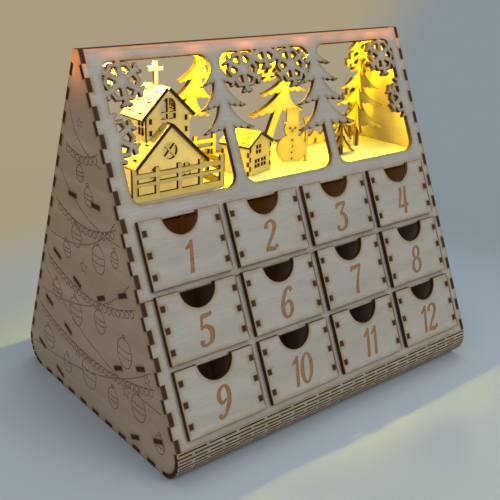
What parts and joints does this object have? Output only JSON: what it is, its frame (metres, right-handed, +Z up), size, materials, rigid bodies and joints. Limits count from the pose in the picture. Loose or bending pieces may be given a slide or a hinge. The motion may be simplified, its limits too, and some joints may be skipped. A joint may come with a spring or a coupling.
{
  "type": "wooden advent calendar",
  "caption": "Laser-cut plywood house with sloping faces of numbered pull-out drawers below a lit winter scene seen through carved windows.",
  "frame": {"origin": "middle of the base, on the surface it stands on", "axes": "+X along the ridge, to the right seen from the front; the front faces -Y; +Z up"},
  "size_m": [0.256, 0.1886, 0.2302],
  "materials": {
    "birch_ply": "bare sanded birch plywood with burnt cut edges",
    "scene_ply": "bare thin birch plywood with burnt cut edges",
    "strip_tape": "flexible printed tape",
    "led_lens": "clear warm-white lamp domes",
    "pack_plastic": "moulded black plastic",
    "switch_plastic": "ribbed black plastic",
    "cell_steel": "plain steel cell cases"
  },
  "bodies": {
    "case": {"battery_case": "pack_plastic", "battery_cover": "pack_plastic", "church_cross": "scene_ply", "church_nave_roof": "scene_ply", "church_nave_walls": "scene_ply", "church_tower_roof": "scene_ply", "church_tower_walls": "scene_ply", "coin_cells": "cell_steel", "cottage_roof": "scene_ply", "cottage_walls": "scene_ply", "front_dividers": "birch_ply", "front_fence": "scene_ply", "front_fir": "scene_ply", "front_shelf_1": "birch_ply", "front_shelf_2": "birch_ply", "front_shelf_3": "birch_ply", "front_upper_panel": "birch_ply", "large_fir": "scene_ply", "led_beads": "led_lens", "led_strip": "strip_tape", "left_side_panel": "birch_ply", "rear_dividers": "birch_ply", "rear_fence": "scene_ply", "rear_fir": "scene_ply", "rear_shelf_1": "birch_ply", "rear_shelf_2": "birch_ply", "rear_shelf_3": "birch_ply", "rear_upper_panel": "birch_ply", "right_side_panel": "birch_ply", "scene_floor": "birch_ply", "side_fence": "scene_ply", "snowman": "scene_ply", "village_row": "scene_ply", "wrap_panel": "birch_ply"},
    "drawer_01": {"drawer_01": "birch_ply"},
    "drawer_02": {"drawer_02": "birch_ply"},
    "drawer_03": {"drawer_03": "birch_ply"},
    "drawer_04": {"drawer_04": "birch_ply"},
    "drawer_05": {"drawer_05": "birch_ply"},
    "drawer_06": {"drawer_06": "birch_ply"},
    "drawer_07": {"drawer_07": "birch_ply"},
    "drawer_08": {"drawer_08": "birch_ply"},
    "drawer_09": {"drawer_09": "birch_ply"},
    "drawer_10": {"drawer_10": "birch_ply"},
    "drawer_11": {"drawer_11": "birch_ply"},
    "drawer_12": {"drawer_12": "birch_ply"},
    "drawer_13": {"drawer_13": "birch_ply"},
    "drawer_14": {"drawer_14": "birch_ply"},
    "drawer_15": {"drawer_15": "birch_ply"},
    "drawer_16": {"drawer_16": "birch_ply"},
    "drawer_17": {"drawer_17": "birch_ply"},
    "drawer_18": {"drawer_18": "birch_ply"},
    "drawer_19": {"drawer_19": "birch_ply"},
    "drawer_20": {"drawer_20": "birch_ply"},
    "drawer_21": {"drawer_21": "birch_ply"},
    "drawer_22": {"drawer_22": "birch_ply"},
    "drawer_23": {"drawer_23": "birch_ply"},
    "drawer_24": {"drawer_24": "birch_ply"},
    "switch": {"switch_slider": "switch_plastic"}
  },
  "joints": [
    {"name": "drawer_01_slide", "type": "slide", "parent": "case", "child": "drawer_01", "axis": [0, -0.9178, 0.3971], "range_m": [0, 0.038]},
    {"name": "drawer_02_slide", "type": "slide", "parent": "case", "child": "drawer_02", "axis": [0, -0.9178, 0.3971], "range_m": [0, 0.038]},
    {"name": "drawer_03_slide", "type": "slide", "parent": "case", "child": "drawer_03", "axis": [0, -0.9178, 0.3971], "range_m": [0, 0.038]},
    {"name": "drawer_04_slide", "type": "slide", "parent": "case", "child": "drawer_04", "axis": [0, -0.9178, 0.3971], "range_m": [0, 0.038]},
    {"name": "drawer_05_slide", "type": "slide", "parent": "case", "child": "drawer_05", "axis": [0, -0.9178, 0.3971], "range_m": [0, 0.038]},
    {"name": "drawer_06_slide", "type": "slide", "parent": "case", "child": "drawer_06", "axis": [0, -0.9178, 0.3971], "range_m": [0, 0.038]},
    {"name": "drawer_07_slide", "type": "slide", "parent": "case", "child": "drawer_07", "axis": [0, -0.9178, 0.3971], "range_m": [0, 0.038]},
    {"name": "drawer_08_slide", "type": "slide", "parent": "case", "child": "drawer_08", "axis": [0, -0.9178, 0.3971], "range_m": [0, 0.038]},
    {"name": "drawer_09_slide", "type": "slide", "parent": "case", "child": "drawer_09", "axis": [0, -0.9178, 0.3971], "range_m": [0, 0.038]},
    {"name": "drawer_10_slide", "type": "slide", "parent": "case", "child": "drawer_10", "axis": [0, -0.9178, 0.3971], "range_m": [0, 0.038]},
    {"name": "drawer_11_slide", "type": "slide", "parent": "case", "child": "drawer_11", "axis": [0, -0.9178, 0.3971], "range_m": [0, 0.038]},
    {"name": "drawer_12_slide", "type": "slide", "parent": "case", "child": "drawer_12", "axis": [0, -0.9178, 0.3971], "range_m": [0, 0.038]},
    {"name": "drawer_13_slide", "type": "slide", "parent": "case", "child": "drawer_13", "axis": [0, 0.9178, 0.3971], "range_m": [0, 0.038]},
    {"name": "drawer_14_slide", "type": "slide", "parent": "case", "child": "drawer_14", "axis": [0, 0.9178, 0.3971], "range_m": [0, 0.038]},
    {"name": "drawer_15_slide", "type": "slide", "parent": "case", "child": "drawer_15", "axis": [0, 0.9178, 0.3971], "range_m": [0, 0.038]},
    {"name": "drawer_16_slide", "type": "slide", "parent": "case", "child": "drawer_16", "axis": [0, 0.9178, 0.3971], "range_m": [0, 0.038]},
    {"name": "drawer_17_slide", "type": "slide", "parent": "case", "child": "drawer_17", "axis": [0, 0.9178, 0.3971], "range_m": [0, 0.038]},
    {"name": "drawer_18_slide", "type": "slide", "parent": "case", "child": "drawer_18", "axis": [0, 0.9178, 0.3971], "range_m": [0, 0.038]},
    {"name": "drawer_19_slide", "type": "slide", "parent": "case", "child": "drawer_19", "axis": [0, 0.9178, 0.3971], "range_m": [0, 0.038]},
    {"name": "drawer_20_slide", "type": "slide", "parent": "case", "child": "drawer_20", "axis": [0, 0.9178, 0.3971], "range_m": [0, 0.038]},
    {"name": "drawer_21_slide", "type": "slide", "parent": "case", "child": "drawer_21", "axis": [0, 0.9178, 0.3971], "range_m": [0, 0.038]},
    {"name": "drawer_22_slide", "type": "slide", "parent": "case", "child": "drawer_22", "axis": [0, 0.9178, 0.3971], "range_m": [0, 0.038]},
    {"name": "drawer_23_slide", "type": "slide", "parent": "case", "child": "drawer_23", "axis": [0, 0.9178, 0.3971], "range_m": [0, 0.038]},
    {"name": "drawer_24_slide", "type": "slide", "parent": "case", "child": "drawer_24", "axis": [0, 0.9178, 0.3971], "range_m": [0, 0.038]},
    {"name": "light_switch_slide", "type": "slide", "parent": "case", "child": "switch", "axis": [1, 0, 0], "range_m": [0, 0.003]}
  ]
}
